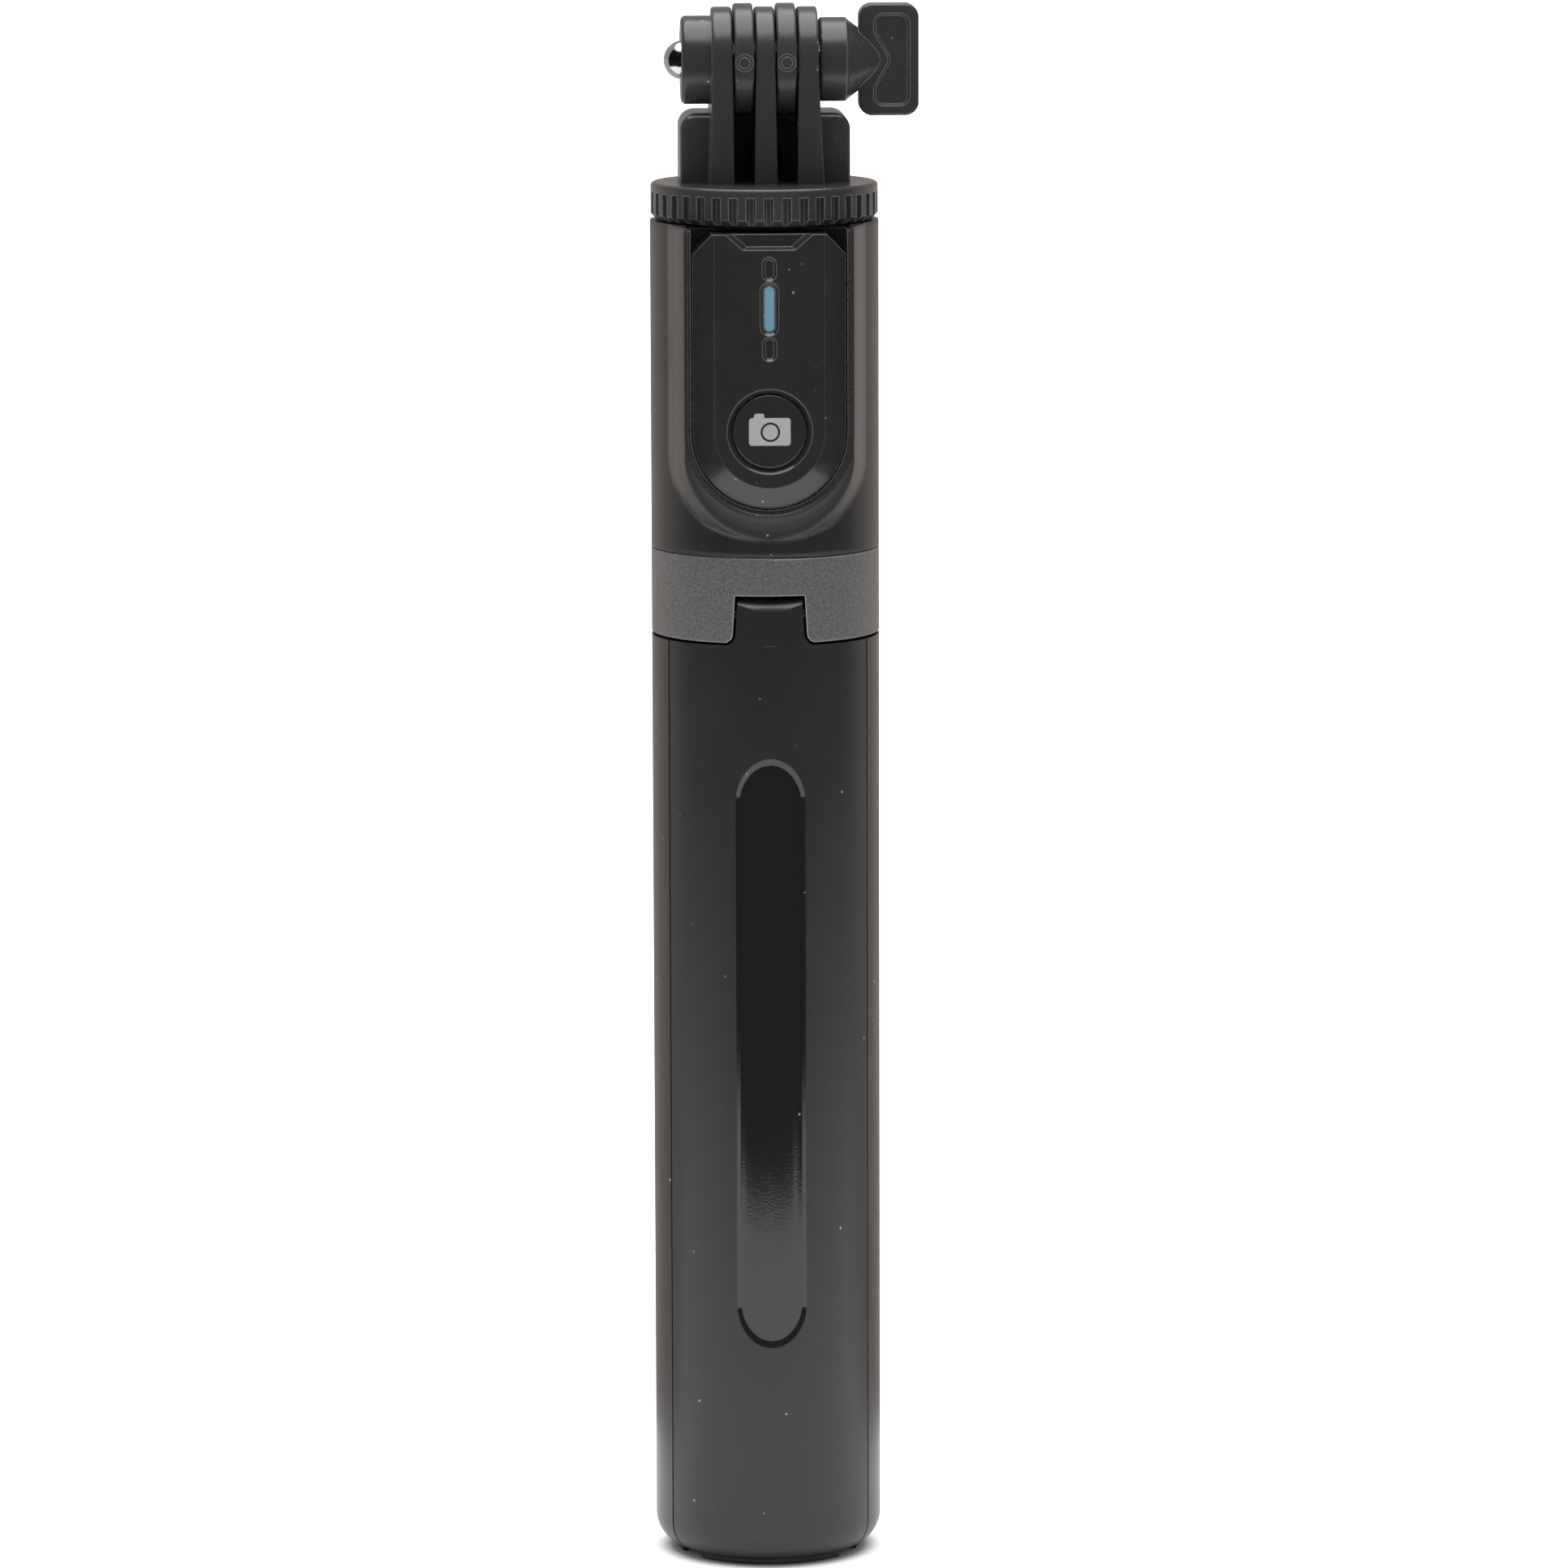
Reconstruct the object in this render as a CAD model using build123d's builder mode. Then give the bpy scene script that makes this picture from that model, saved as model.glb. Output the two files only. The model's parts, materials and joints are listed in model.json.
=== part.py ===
"""Tripod selfie stick: three folding legs that make the handle, a body that holds a
clip-in remote, a telescopic rod, and a head with a fold-down phone clamp.

Millimetres. The origin is on the stick's axis, level with the feet. +Z runs up the stick,
and the remote faces -Y.
"""
import os
from math import cos, radians, sin

from build123d import *

os.makedirs("parts", exist_ok=True)

# ---- driving dimensions ----------------------------------------------------------------
BODY_R = 16.25            # handle and body radius
WALL = 2.2                # leg shell wall
LEG_TOP = 133.65          # top of the legs
RING_LOW = 134.0          # hub ring
RING_TOP = 146.2
BODY_TOP = 192.8          # top edge of the upper body
DISC_LOW = 192.9          # serrated disc
DISC_TOP = 198.2
PIVOT_Z = 215.4           # tilt axis, along X through the stick's axis
LEG_TURNS = {"front": 0, "right": 120, "left": 240}

# legs
LEG_IN_R = 8.75           # trough around the rod
LEG_GAP = 0.15            # half of the gap between two legs
LEG_SIDE = 1.6            # side wall
LEG_FLOOR = 0.5           # underside of the leg, above the rubber foot's face
LEG_ROUND = 4.7           # rounding of the outer bottom edge
GROOVE_R = 6.45           # glossy finger groove, where its walls would meet the plane at BODY_R
GROOVE_LOW = 38.8
GROOVE_HIGH = 111.2
GROOVE_DEPTH = 0.55
GROOVE_SLOPE = 60         # of its walls, from the depth direction
HINGE_Y = 13.8            # leg hinge axis
HINGE_Z = 138.0
KNUCKLE_R = 2.4
PIN_R = 0.7
PIN_LENGTH = 12.6

# telescopic rod: outer radius, inner radius, foot and top of each tube
SLEEVE_R = (8.15, 8.9)
TUBES = (
    (7.95, 7.50, 2.0, 191.2),
    (6.95, 6.55, 8.6, 191.5),
    (6.00, 5.60, 9.6, 191.8),
    (5.05, 4.65, 10.6, 192.1),
    (4.10, 3.70, 11.6, 192.3),
)
BUSH_LENGTH = 20.0
BUSH_GAP = 0.10
LIP_HEIGHT = 1.2
LIP_GAP = 0.15

# remote and its bay
REMOTE_HALF = 10.8
REMOTE_ARC_Z = 164.0
REMOTE_TOP = 192.0
REMOTE_BACK_Y = 10.7
REMOTE_SPLIT_Y = 11.7
REMOTE_RIM_Y = 16.1
REMOTE_FACE_Y = 17.3
PLATEAU_HALF = 7.75
BAY_GAP = 0.75
BAY_FACE_Y = 17.0
REMOTE_SCREWS = ((-7.0, 186.0), (7.0, 186.0), (0, 156.9))
BUTTON_Z = 164.2
BUTTON_R = 5.25

# head
EYE_R = 7.5
ARM_EYE_R = 8.0
BOLT_R = 2.5
BOLT_GAP = 0.08

# phone clamp, folded down behind the stick
CLAMP_Y = 17.5            # face next to the stick
CLAMP_BACK_Y = 23.5       # face that the phone lies against
CLAMP_HALF = 10.5
CLAMP_TOP = 194.0
CLAMP_LOW = 142.0
JAW_LOW = 134.5
JAW_THICK = 4.0
JAW_REACH_Y = 36.0
JAW_ROD_X = 6.2
JAW_ROD_Y = 20.6


def save(piece, label):
    """Name a finished piece and write it as one STEP file."""
    piece.label = label
    export_step(piece, f"parts/{label}.step")


def front(y):
    """Sketch plane that faces the front, at distance y before the axis."""
    return Plane.XZ.offset(y)


def tube(r_out, r_in, low, high):
    """Plain tube about the stick's axis."""
    with BuildPart() as pipe:
        with BuildSketch(Plane.XY.offset(low)):
            Circle(r_out)
            Circle(r_in, mode=Mode.SUBTRACT)
        extrude(amount=high - low)
    return pipe.part


def wedge(r_out, r_in, side):
    """Sketch of a third of a ring about -Y, its sides set in by side."""
    reach = 40
    apex = side / sin(radians(60))
    with BuildSketch() as sketch:
        Circle(r_out)
        Circle(r_in, mode=Mode.SUBTRACT)
        with BuildLine():
            Polyline(
                (0, -apex),
                (reach * sin(radians(60)), -apex - reach * cos(radians(60))),
                (-reach * sin(radians(60)), -apex - reach * cos(radians(60))),
                close=True,
            )
        make_face(mode=Mode.INTERSECT)
    return sketch.sketch


# ---- legs ------------------------------------------------------------------------------
SCREW_ZS = (17.0, 126.0)
SCREW_SEAT_Y = 9.6        # the cover's screws seat here, clear of the rod
PAD_R = (9.8, 13.2)


def tab_outline(half_top, half_low, flare, low, top):
    """Hinge tab or ring notch: slanted sides that flare out at the lower edge."""
    with BuildSketch() as outline:
        with BuildLine():
            Polyline(
                (-half_top, top),
                (half_top, top),
                (half_low, low + flare),
                (half_low + flare, low),
                (half_low + flare, low - 2),
                (-half_low - flare, low - 2),
                (-half_low - flare, low),
                (-half_low, low + flare),
                close=True,
            )
        make_face()
        for side in (-1, 1):
            with Locations((side * (half_low + flare), low + flare)):
                Circle(flare, mode=Mode.SUBTRACT)
    return outline.sketch


def leg_shell():
    """Outer leg moulding, open inwards, with its hinge tab, posts and finger groove."""
    with BuildPart() as shell:
        with BuildSketch(Plane.XY.offset(LEG_FLOOR)):
            add(wedge(BODY_R, LEG_IN_R, LEG_GAP))
        extrude(amount=LEG_TOP - LEG_FLOOR)
        rim = shell.edges().filter_by(GeomType.CIRCLE).group_by(Axis.Z)[0]
        fillet(rim.sort_by(SortBy.RADIUS)[-1:], radius=LEG_ROUND)
        # hollow
        with BuildSketch(Plane.XY.offset(6.0)):
            add(wedge(BODY_R - WALL, 1.0, LEG_GAP + LEG_SIDE))
        extrude(amount=124.6, mode=Mode.SUBTRACT)
        # screw posts for the inner cover
        with BuildSketch(front(10.3)):
            for z in SCREW_ZS:
                with Locations((0, z)):
                    Circle(2.2)
        extrude(amount=4.2)
        # stiffening ribs across the hollow
        for z in (26.0, 50.0, 75.0, 100.0, 118.0):
            with BuildSketch(Plane.XY.offset(z)):
                add(wedge(BODY_R - 1.0, 12.0, LEG_GAP + 0.5))
            extrude(amount=1.2)
        # glossy groove
        add(groove_tool(), mode=Mode.SUBTRACT)
        # hinge tab
        add(hinge_tab())
        with Locations(Location((0, -HINGE_Y, HINGE_Z), (0, 90, 0))):
            Cylinder(PIN_R + 0.05, 20, mode=Mode.SUBTRACT)
        # pilot holes for the cover's screws
        with BuildSketch(front(10.0)):
            for z in SCREW_ZS:
                with Locations((0, z)):
                    Circle(0.75)
        extrude(amount=3.6, mode=Mode.SUBTRACT)
        # pocket for the rubber foot
        with BuildSketch(Plane.XY.offset(LEG_FLOOR)):
            add(wedge(PAD_R[1], PAD_R[0], 2.6))
        extrude(amount=1.5, mode=Mode.SUBTRACT)
    return shell.part


def groove_tool():
    """Long slot with sloping walls and a floor that follows the leg's round."""
    with BuildPart() as tool:
        with BuildSketch(front(BODY_R + 0.05)):
            with Locations((0, (GROOVE_LOW + GROOVE_HIGH) / 2)):
                SlotOverall(GROOVE_HIGH - GROOVE_LOW + 2 * GROOVE_R, 2 * GROOVE_R, rotation=90)
        extrude(amount=-2.6, taper=GROOVE_SLOPE)
        with BuildSketch():
            Circle(BODY_R - GROOVE_DEPTH)
        extrude(amount=200, mode=Mode.SUBTRACT)
    return tool.part


def hinge_tab():
    """Tab that rises from the leg into the hub, rounded about the hinge axis."""
    with BuildPart() as tab:
        with BuildSketch(front(0)):
            add(tab_outline(4.55, 4.85, 1.85, LEG_TOP - 0.05, HINGE_Z + 3))
        extrude(amount=20)
        with BuildSketch(Plane.YZ):
            with Locations((-HINGE_Y, HINGE_Z)):
                Circle(KNUCKLE_R)
            with Locations((-HINGE_Y, (HINGE_Z + LEG_TOP - 1) / 2)):
                Rectangle(2 * KNUCKLE_R, HINGE_Z - LEG_TOP + 1)
        extrude(amount=10, both=True, mode=Mode.INTERSECT)
        with BuildSketch():
            Circle(BODY_R)
        extrude(amount=200, mode=Mode.INTERSECT)
    return tab.part


def leg_liner():
    """Inner cover: the trough that closes the leg and clears the rod."""
    with BuildPart() as liner:
        with BuildSketch(Plane.XY.offset(6.1)):
            add(wedge(LEG_IN_R + 1.5, LEG_IN_R, LEG_GAP + LEG_SIDE + 0.05))
        extrude(amount=124.4)
        with BuildSketch(front(8.0)):
            for z in SCREW_ZS:
                with Locations((0, z)):
                    Circle(0.95)
        extrude(amount=4, mode=Mode.SUBTRACT)
        with BuildSketch(front(8.0)):
            for z in SCREW_ZS:
                with Locations((0, z)):
                    Circle(1.8)
        extrude(amount=SCREW_SEAT_Y - 8.0, mode=Mode.SUBTRACT)
    return liner.part


def leg_foot():
    """Rubber pad under the leg."""
    with BuildPart() as foot:
        with BuildSketch():
            add(wedge(PAD_R[1] - 0.02, PAD_R[0] + 0.02, 2.62))
        extrude(amount=1.98)
        fillet(foot.faces().sort_by(Axis.Z)[0].edges(), radius=0.3)
    return foot.part


def leg_screws():
    """Two screws that hold the inner cover to the leg."""
    with BuildPart() as screws:
        for z in SCREW_ZS:
            with BuildSketch(front(SCREW_SEAT_Y)):
                with Locations((0, z)):
                    Circle(1.6)
            extrude(amount=-0.6)
            with BuildSketch(front(SCREW_SEAT_Y)):
                with Locations((0, z)):
                    Circle(0.74)
            extrude(amount=3.8)
            with BuildSketch(front(SCREW_SEAT_Y - 0.6)):
                with Locations((0, z)):
                    Rectangle(1.6, 0.35)
                    Rectangle(0.35, 1.6)
            extrude(amount=0.3, mode=Mode.SUBTRACT)
    return screws.part


shell = leg_shell()
liner = leg_liner()
foot = leg_foot()
cover_screws = leg_screws()
for side, turn in LEG_TURNS.items():
    save(shell.rotate(Axis.Z, turn), f"leg_shell_{side}")
    save(liner.rotate(Axis.Z, turn), f"leg_liner_{side}")
    save(foot.rotate(Axis.Z, turn), f"leg_foot_{side}")
    save(cover_screws.rotate(Axis.Z, turn), f"leg_screws_{side}")

# ---- hub -------------------------------------------------------------------------------
HUB_WALL_R = 14.9
NOTCH_TOP = 140.8
HUB_SCREW_R = 11.9

pin_places = [
    Location((HINGE_Y * cos(radians(turn - 90)), HINGE_Y * sin(radians(turn - 90)), HINGE_Z), (0, 0, turn))
    for turn in LEG_TURNS.values()
]


def hub_notch(inner_y):
    """Opening in the hub for one leg's tab, cut in as far as inner_y from the axis."""
    with BuildPart() as notch:
        with BuildSketch(front(inner_y)):
            add(tab_outline(4.95, 5.25, 1.45, RING_LOW, NOTCH_TOP))
        extrude(amount=20 - inner_y)
    return notch.part


with BuildPart() as leg_hinge_pins:
    for place in pin_places:
        with Locations(place):
            Cylinder(PIN_R, PIN_LENGTH, rotation=(0, 90, 0))
save(leg_hinge_pins.part, "leg_hinge_pins")

with BuildPart() as hub_ring:
    add(tube(BODY_R, HUB_WALL_R + 0.05, RING_LOW, RING_TOP))
    fillet(hub_ring.edges().filter_by(GeomType.CIRCLE).sort_by(SortBy.RADIUS)[-2:], radius=0.25)
    for turn in LEG_TURNS.values():
        add(hub_notch(12.0).rotate(Axis.Z, turn), mode=Mode.SUBTRACT)
    for place in pin_places:
        with Locations(place):
            Cylinder(PIN_R, PIN_LENGTH, rotation=(0, 90, 0), mode=Mode.SUBTRACT)
save(hub_ring.part, "hub_ring")

with BuildPart() as hub_core:
    add(tube(HUB_WALL_R, SLEEVE_R[1] + 0.02, RING_LOW + 0.3, RING_TOP - 0.1))
    for turn in LEG_TURNS.values():
        add(hub_notch(HINGE_Y - KNUCKLE_R - 0.3).rotate(Axis.Z, turn), mode=Mode.SUBTRACT)
    for place in pin_places:
        with Locations(place):
            Cylinder(PIN_R, PIN_LENGTH, rotation=(0, 90, 0), mode=Mode.SUBTRACT)
    with BuildSketch(Plane.XY.offset(RING_LOW)):
        with PolarLocations(HUB_SCREW_R, 3, start_angle=90):
            Circle(1.05)
    extrude(amount=20, mode=Mode.SUBTRACT)
    with BuildSketch(Plane.XY.offset(RING_LOW)):
        with PolarLocations(HUB_SCREW_R, 3, start_angle=90):
            Circle(1.9)
    extrude(amount=2.3, mode=Mode.SUBTRACT)
save(hub_core.part, "hub_core")

with BuildPart() as body_screws:
    with BuildSketch(Plane.XY.offset(RING_LOW + 0.7)):
        with PolarLocations(HUB_SCREW_R, 3, start_angle=90):
            Circle(1.7)
    extrude(amount=1.6)
    with BuildSketch(Plane.XY.offset(RING_LOW + 2.3)):
        with PolarLocations(HUB_SCREW_R, 3, start_angle=90):
            Circle(0.9)
    extrude(amount=18)
save(body_screws.part, "body_screws")

# ---- upper body ------------------------------------------------------------------------
SHELL_LOW = RING_TOP + 0.1
SHELL_WALL = 1.8
BAY_HALF = REMOTE_HALF + BAY_GAP


def bay_outline(half, top, arc_z=REMOTE_ARC_Z):
    """U-shaped outline of the remote's bay, open at the top."""
    with BuildSketch() as outline:
        with BuildLine():
            left = Line((-half, top), (-half, arc_z))
            RadiusArc(left @ 1, (half, arc_z), -half)
            Line((half, arc_z), (half, top))
            Line((half, top), (-half, top))
        make_face()
    return outline.sketch


# sections of the raised front: depth, spread beyond the bay, drop of the U's centre
FRONT_SECTIONS = (
    (BAY_FACE_Y, 0.12, 0.0),
    (16.68, 0.2, 1.1),
    (16.45, 0.3, 2.2),
    (16.3, 0.4, 3.3),
    (13.6, 1.15, 4.3),
    (4.0, 3.5, 4.8),
)


def body_form(r, inset):
    """The upper body's outer form: a cylinder with a raised front around the bay."""
    with BuildPart() as form:
        with BuildSketch(Plane.XY.offset(SHELL_LOW)):
            Circle(r)
        extrude(amount=BODY_TOP - SHELL_LOW)
        for depth, spread, drop in FRONT_SECTIONS:
            with BuildSketch(front(depth - inset)):
                add(bay_outline(BAY_HALF + spread - inset, BODY_TOP, REMOTE_ARC_Z - drop))
        loft(ruled=True)
        with BuildSketch(Plane.XY.offset(SHELL_LOW)):
            Circle(r + 4)
        extrude(amount=-8, mode=Mode.SUBTRACT)
    return form.part


with BuildPart() as upper_shell:
    add(body_form(BODY_R, 0))
    rim = upper_shell.faces().filter_by(Plane.XZ).sort_by(Axis.Y)[0].edges()
    fillet(rim.filter_by(lambda edge: edge.center().Z < BODY_TOP - 0.5), radius=0.3)
    add(body_form(BODY_R - SHELL_WALL, SHELL_WALL), mode=Mode.SUBTRACT)
    with BuildSketch(front(9.0)):
        add(bay_outline(BAY_HALF, BODY_TOP + 1))
    extrude(amount=12, mode=Mode.SUBTRACT)
    with BuildSketch(Plane.XY.offset(SHELL_LOW)):
        with PolarLocations(HUB_SCREW_R, 3, start_angle=90):
            Circle(2.8)
    extrude(amount=10)
    with BuildSketch(Plane.XY.offset(SHELL_LOW)):
        with PolarLocations(HUB_SCREW_R, 3, start_angle=90):
            Circle(0.92)
    extrude(amount=9, mode=Mode.SUBTRACT)
save(upper_shell.part, "upper_shell")

with BuildPart() as remote_tray:
    with BuildSketch(front(9.2)):
        add(bay_outline(BAY_HALF - 0.03, BODY_TOP - 0.4))
    extrude(amount=BAY_FACE_Y - 0.9 - 9.2)
    with BuildSketch(front(REMOTE_BACK_Y - 0.25)):
        add(bay_outline(REMOTE_HALF + 0.2, BODY_TOP + 1))
    extrude(amount=10, mode=Mode.SUBTRACT)
save(remote_tray.part, "remote_tray")

save(tube(SLEEVE_R[1], SLEEVE_R[0], RING_LOW + 0.3, 190.0), "guide_sleeve")

with BuildPart() as top_collar:
    add(tube(BODY_R - SHELL_WALL - 0.05, SLEEVE_R[0] + 0.1, 190.1, BODY_TOP - 0.3))
    with BuildSketch(front(9.15)):
        Rectangle(40, 500)
    extrude(amount=20, mode=Mode.SUBTRACT)
save(top_collar.part, "top_collar")

# ---- telescopic rod --------------------------------------------------------------------
for index, (r_out, r_in, low, high) in enumerate(TUBES):
    with BuildPart() as rod_tube:
        add(tube(r_out, r_in, low, high))
        if index + 1 < len(TUBES):
            add(tube(r_in + 0.1, TUBES[index + 1][0] + LIP_GAP, high - LIP_HEIGHT, high))
        fillet(rod_tube.edges().filter_by(GeomType.CIRCLE).group_by(Axis.Z)[-1], radius=0.1)
    save(rod_tube.part, f"rod_tube_{index + 1}")
    if index:
        bush_r = TUBES[index - 1][1] - BUSH_GAP
        with BuildPart() as rod_bush:
            add(tube(bush_r, r_out, low, low + BUSH_LENGTH))
            # three springy slits
            with BuildSketch(Plane.XY.offset(low + 6)):
                with PolarLocations(bush_r, 3):
                    Rectangle(2.4, 0.8)
            extrude(amount=BUSH_LENGTH, mode=Mode.SUBTRACT)
        save(rod_bush.part, f"rod_bush_{index + 1}")

with BuildPart() as rod_end_cap:
    with BuildSketch():
        Circle(8.5)
    extrude(amount=2.0)
    with BuildSketch(Plane.XY.offset(2.0)):
        Circle(TUBES[0][1])
        Circle(TUBES[0][1] - 1.4, mode=Mode.SUBTRACT)
    extrude(amount=6.0)
    fillet(rod_end_cap.edges().filter_by(GeomType.CIRCLE).group_by(Axis.Z)[0], radius=0.6)
save(rod_end_cap.part, "rod_end_cap")

TIP_R = TUBES[-1][1]
TIP_TOP = DISC_LOW - 0.2
with BuildPart() as rod_tip:
    add(tube(TIP_R, BOLT_R + BOLT_GAP, 178.0, TUBES[-1][3]))
    add(tube(TUBES[-1][0], BOLT_R + BOLT_GAP, TUBES[-1][3], TIP_TOP))
save(rod_tip.part, "rod_tip")

# ---- head ------------------------------------------------------------------------------
DISC_R = 16.15
TEETH = 40
TEETH_LOW = 193.8
TEETH_HIGH = 196.9
TOOTH_DEPTH = 0.75
BLOCK_HALF = 12.05
BLOCK_TOP = 208.1
BLOCK_FRONT = 5.0
BLOCK_BACK = 8.0
SLOT_FLOOR = 207.1
DISC_SCREW_X = 8.6

with BuildPart() as grip_disc:
    with BuildSketch(Plane.XY.offset(DISC_LOW)):
        Circle(DISC_R)
    extrude(amount=DISC_TOP - DISC_LOW)
    chamfer(grip_disc.edges().filter_by(GeomType.CIRCLE).sort_by(Axis.Z)[0], length=0.9)
    fillet(grip_disc.edges().filter_by(GeomType.CIRCLE).sort_by(Axis.Z)[-1], radius=0.6)
    with BuildSketch(Plane.XY.offset(TEETH_LOW - 1.2)):
        with PolarLocations(DISC_R + 0.2, TEETH):
            Trapezoid(1.5, TOOTH_DEPTH + 0.2, 66, rotation=90, align=(Align.CENTER, Align.MIN))
    extrude(amount=TEETH_HIGH - TEETH_LOW + 1.2, mode=Mode.SUBTRACT)
    with BuildSketch(Plane.XY.offset(DISC_LOW)):
        Circle(BOLT_R)
    extrude(amount=20, mode=Mode.SUBTRACT)
    with BuildSketch(Plane.XY.offset(DISC_LOW)):
        with Locations((-DISC_SCREW_X, 0), (DISC_SCREW_X, 0)):
            Circle(1.1)
    extrude(amount=20, mode=Mode.SUBTRACT)
    with BuildSketch(Plane.XY.offset(DISC_LOW)):
        with Locations((-DISC_SCREW_X, 0), (DISC_SCREW_X, 0)):
            Circle(2.0)
    extrude(amount=2.2, mode=Mode.SUBTRACT)
save(grip_disc.part, "grip_disc")

with BuildPart() as disc_screws:
    for x in (-DISC_SCREW_X, DISC_SCREW_X):
        with BuildSketch(Plane.XY.offset(DISC_LOW + 0.7)):
            with Locations((x, 0)):
                Circle(1.9)
        extrude(amount=1.5)
        with BuildSketch(Plane.XY.offset(DISC_LOW + 2.2)):
            with Locations((x, 0)):
                Circle(1.0)
        extrude(amount=9.0)
save(disc_screws.part, "disc_screws")


def finger(x_low, x_high, flare_low, flare_high):
    """One prong: a slab with a round eye that grows thicker towards the disc."""
    with BuildPart() as prong:
        with BuildSketch(front(12)):
            with BuildLine():
                Polyline(
                    (x_low, PIVOT_Z + 9),
                    (x_high, PIVOT_Z + 9),
                    (x_high, PIVOT_Z - 2),
                    (x_high + flare_high, DISC_TOP),
                    (x_low - flare_low, DISC_TOP),
                    (x_low, PIVOT_Z - 2),
                    close=True,
                )
            make_face()
        extrude(amount=-24)
        with BuildSketch(Plane.YZ):
            with Locations((0, PIVOT_Z)):
                Circle(EYE_R)
            with BuildLine():
                Polyline(
                    (-EYE_R, PIVOT_Z),
                    (EYE_R, PIVOT_Z),
                    (BLOCK_BACK, DISC_TOP - 1),
                    (-8.45, DISC_TOP - 1),
                    close=True,
                )
            make_face()
        extrude(amount=20, both=True, mode=Mode.INTERSECT)
        rims = prong.edges().filter_by(lambda edge: edge.center().Z > DISC_TOP + 0.2)
        fillet(rims.filter_by(lambda edge: abs(edge.center().X - (x_low + x_high) / 2) > 0.6), radius=0.4)
    return prong.part


PRONGS = (
    finger(-7.5, -4.6, 0.55, 0.15),
    finger(-1.4, 1.4, 0.25, 0.25),
    finger(4.6, 7.5, 0.15, 0.75),
)

with BuildPart() as head_base:
    # shoulder block behind and beside the prongs
    with BuildSketch(Plane.XY.offset(DISC_TOP)):
        with Locations((0, (BLOCK_BACK - BLOCK_FRONT) / 2)):
            Rectangle(2 * BLOCK_HALF, BLOCK_BACK + BLOCK_FRONT)
    extrude(amount=BLOCK_TOP - DISC_TOP)
    tops = head_base.edges().filter_by(Axis.Y).group_by(Axis.Z)[-1]
    fillet(tops, radius=2.3)
    shoulder = head_base.edges().filter_by(lambda edge: edge.center().Z > DISC_TOP + 0.2)
    fillet(shoulder, radius=0.95)
    # the two slots reach down in front of the block's rear wall
    for x in (-3.0, 3.0):
        with BuildSketch(Plane.XY.offset(DISC_TOP)):
            with Locations((x, -4.0)):
                Rectangle(3.0, 14.0)
        extrude(amount=20, mode=Mode.SUBTRACT)
        with BuildSketch(Plane.XY.offset(SLOT_FLOOR)):
            with Locations((x, 0)):
                Rectangle(3.2, 40.0)
        extrude(amount=20, mode=Mode.SUBTRACT)
    for prong in PRONGS:
        add(prong)
    # boss that holds the nut
    with BuildSketch(Plane.YZ.offset(-11.8)):
        with Locations((0, PIVOT_Z)):
            Circle(6.25)
    extrude(amount=4.6)
    fillet(head_base.edges().filter_by(GeomType.CIRCLE).sort_by(Axis.X)[0], radius=0.7)
    with BuildSketch(Plane.YZ.offset(-20)):
        with Locations((0, PIVOT_Z)):
            Circle(BOLT_R + BOLT_GAP)
    extrude(amount=40, mode=Mode.SUBTRACT)
    with BuildSketch(Plane.YZ.offset(-11.0)):
        with Locations((0, PIVOT_Z)):
            RegularPolygon(4.0, 6, major_radius=False)
    extrude(amount=3.0, mode=Mode.SUBTRACT)
    with BuildSketch(Plane.YZ.offset(-12.5)):
        with Locations((0, PIVOT_Z)):
            Circle(2.85)
    extrude(amount=3.0, mode=Mode.SUBTRACT)
    # socket for the swivel pin, and the disc screws' holes
    with BuildSketch(Plane.XY.offset(DISC_TOP - 1)):
        Circle(BOLT_R)
    extrude(amount=5.8, mode=Mode.SUBTRACT)
    with BuildSketch(Plane.XY.offset(DISC_TOP - 1)):
        with Locations((-DISC_SCREW_X, 0), (DISC_SCREW_X, 0)):
            Circle(1.0)
    extrude(amount=8.0, mode=Mode.SUBTRACT)
save(head_base.part, "head_base")

with BuildPart() as swivel_pin:
    with BuildSketch(Plane.XY.offset(175.5)):
        Circle(BOLT_R)
    extrude(amount=203.0 - 175.5)
    add(tube(BOLT_R + 0.1, BOLT_R - 0.5, 176.7, 177.3), mode=Mode.SUBTRACT)
save(swivel_pin.part, "swivel_pin")

with BuildPart() as swivel_clip:
    add(tube(3.3, BOLT_R - 0.5, 176.72, 177.28))
    with BuildSketch(Plane.XY.offset(176)):
        with Locations((0, -3)):
            Rectangle(2.6, 4)
    extrude(amount=2, mode=Mode.SUBTRACT)
save(swivel_clip.part, "swivel_clip")

with BuildPart() as acorn_nut:
    with BuildSketch(Plane.YZ.offset(-11.0)):
        with Locations((0, PIVOT_Z)):
            RegularPolygon(3.98, 6, major_radius=False)
    extrude(amount=2.98)
    with BuildSketch(Plane.YZ.offset(-11.4)):
        with Locations((0, PIVOT_Z)):
            Circle(2.8)
    extrude(amount=1.0)
    with Locations((-11.4, 0, PIVOT_Z)):
        Sphere(2.8)
    with BuildSketch(Plane.YZ.offset(-12.0)):
        with Locations((0, PIVOT_Z)):
            Circle(BOLT_R + BOLT_GAP)
    extrude(amount=10, mode=Mode.SUBTRACT)
save(acorn_nut.part, "acorn_nut")

# ---- thumb screw -----------------------------------------------------------------------
KNOB_X = 7.75
KNOB_R = 5.95
PADDLE_LOW_X = 13.4
PADDLE_HIGH_X = 21.9
PADDLE_HALF_Z = 7.9
PADDLE_HALF_Y = 2.2
KNOB_BOLT = 5.0           # how far the bolt reaches into the knob


CONE_START = 3.8
CONE_END = 9.0
RECESS_LEFT = PADDLE_LOW_X + 2.1
RECESS_BEND = PADDLE_LOW_X + 4.3
RECESS_RIGHT = PADDLE_HIGH_X - 1.3
RECESS_HALF = 6.55
RECESS_DEPTH = 0.45

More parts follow.
